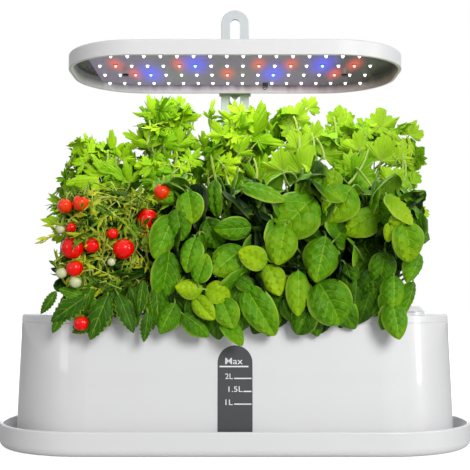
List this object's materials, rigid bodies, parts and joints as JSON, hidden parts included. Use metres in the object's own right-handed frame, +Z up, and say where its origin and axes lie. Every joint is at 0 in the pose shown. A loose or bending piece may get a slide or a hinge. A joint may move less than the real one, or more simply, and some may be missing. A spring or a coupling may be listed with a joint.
{
  "type": "countertop hydroponic garden",
  "caption": "Stadium-shaped water tank with a level window in a drip tray, a deck of planted pods, and a lit grow lamp that slides on a slotted pole.",
  "frame": {"origin": "middle of the tray's flat underside, on the counter", "axes": "+X to the right along the tank, +Y towards the pole at the back, +Z up; the level window faces -Y"},
  "size_m": [0.403, 0.1792, 0.3967],
  "materials": {
    "tray_plastic": "glossy white moulded plastic",
    "tank_plastic": "glossy white moulded plastic",
    "window_plastic": "dark grey translucent plastic with white gauge marks",
    "seal_rubber": "soft silicone",
    "foot_rubber": "grey silicone",
    "deck_plastic": "glossy white moulded plastic",
    "lid_plastic": "glossy white moulded plastic",
    "pin_steel": "plain steel pin",
    "pole_plastic": "satin light grey plastic",
    "bracket_plastic": "grey moulded plastic",
    "knob_plastic": "light grey moulded plastic",
    "screw_steel": "black oxide steel",
    "nut_steel": "zinc plated steel",
    "lamp_plastic": "glossy white moulded plastic",
    "board_white": "white solder mask, seen in the shade",
    "led_white": "lit white LED",
    "led_red": "lit red LED",
    "led_blue": "lit blue LED",
    "clear_cover": "clear polycarbonate",
    "black_plastic": "black plastic",
    "button_plastic": "light grey plastic",
    "board_green": "green solder mask",
    "pump_plastic": "black plastic",
    "pump_foam": "open-cell filter foam",
    "shaft_ceramic": "white ceramic",
    "pipe_plastic": "milky plastic tube",
    "basket_plastic": "dark grey moulded plastic",
    "sponge": "brown peat sponge",
    "leaf_tomato": "leaves and stems",
    "tomato_skin": "ripe tomato skin",
    "leaf_basil": "leaves and stems",
    "leaf_celery": "leaves and stems",
    "leaf_coriander": "leaves and stems"
  },
  "bodies": {
    "tray": {"drip_tray": "tray_plastic"},
    "tank": {"water_tank": "tank_plastic", "tank_feet": "foot_rubber", "level_window": "window_plastic", "window_gasket": "seal_rubber", "pump_housing": "pump_plastic", "pump_shaft": "shaft_ceramic", "pump_chamber_plate": "pump_plastic", "intake_grille": "pump_plastic", "pump_filter": "pump_foam", "pump_feet": "foot_rubber", "outlet_pipe": "pipe_plastic"},
    "impeller": {"pump_impeller": "pump_plastic"},
    "deck": {"deck_panel": "deck_plastic", "fill_collar": "lid_plastic", "fill_lid_pin": "pin_steel", "pole": "pole_plastic", "pole_socket": "lid_plastic", "socket_screws": "screw_steel", "pole_screws": "screw_steel", "grow_sponges": "sponge", "tomato_plant": "leaf_tomato", "tomato_fruit": "tomato_skin", "basil_plants": "leaf_basil", "celery_plants": "leaf_celery", "coriander_plants": "leaf_coriander", "basket_01": "basket_plastic", "basket_02": "basket_plastic", "basket_03": "basket_plastic", "basket_04": "basket_plastic", "basket_05": "basket_plastic", "basket_06": "basket_plastic", "basket_07": "basket_plastic", "basket_08": "basket_plastic", "basket_09": "basket_plastic", "basket_10": "basket_plastic"},
    "fill_flap": {"fill_lid": "lid_plastic"},
    "lamp": {"lamp_bracket": "bracket_plastic", "bracket_screws": "screw_steel", "clamp_nut": "nut_steel", "lamp_housing": "lamp_plastic", "led_board": "board_white", "leds_white": "led_white", "leds_red": "led_red", "leds_blue": "led_blue", "lamp_cover": "clear_cover", "cover_screws": "screw_steel", "board_connector": "black_plastic", "lead_grommet": "black_plastic", "control_cover": "lamp_plastic", "control_board": "board_green", "tact_switches": "black_plastic", "led_driver": "black_plastic", "dc_jack": "black_plastic"},
    "knob": {"clamp_knob": "knob_plastic"},
    "power_button": {"button_power": "button_plastic"},
    "mode_button": {"button_mode": "button_plastic"},
    "timer_button": {"button_timer": "button_plastic"}
  },
  "joints": [
    {"name": "tank_lift", "type": "slide", "parent": "tray", "child": "tank", "axis": [0, 0, 1], "range_m": [0, 0.06]},
    {"name": "deck_lift", "type": "slide", "parent": "tank", "child": "deck", "axis": [0, 0, 1], "range_m": [0, 0.12]},
    {"name": "pump_spin", "type": "hinge", "parent": "tank", "child": "impeller", "pos_m": [0, -0.018, 0.039], "axis": [0, 1, 0], "continuous": true},
    {"name": "flap_swing", "type": "hinge", "parent": "deck", "child": "fill_flap", "pos_m": [0.1485, 0.013, 0.1152], "axis": [-1, 0, 0], "range_deg": [0, 85]},
    {"name": "lamp_height", "type": "slide", "parent": "deck", "child": "lamp", "axis": [0, 0, 1], "range_m": [-0.008, 0.046]},
    {"name": "knob_turn", "type": "hinge", "parent": "lamp", "child": "knob", "pos_m": [0, 0.0605, 0.3302], "axis": [0, 1, 0], "range_deg": [0, 270]},
    {"name": "power_press", "type": "slide", "parent": "lamp", "child": "power_button", "axis": [0, 0, -1], "range_m": [0, 0.0012], "stiffness_N_per_m": 600},
    {"name": "mode_press", "type": "slide", "parent": "lamp", "child": "mode_button", "axis": [0, 0, -1], "range_m": [0, 0.0012], "stiffness_N_per_m": 600},
    {"name": "timer_press", "type": "slide", "parent": "lamp", "child": "timer_button", "axis": [0, 0, -1], "range_m": [0, 0.0012], "stiffness_N_per_m": 600}
  ]
}
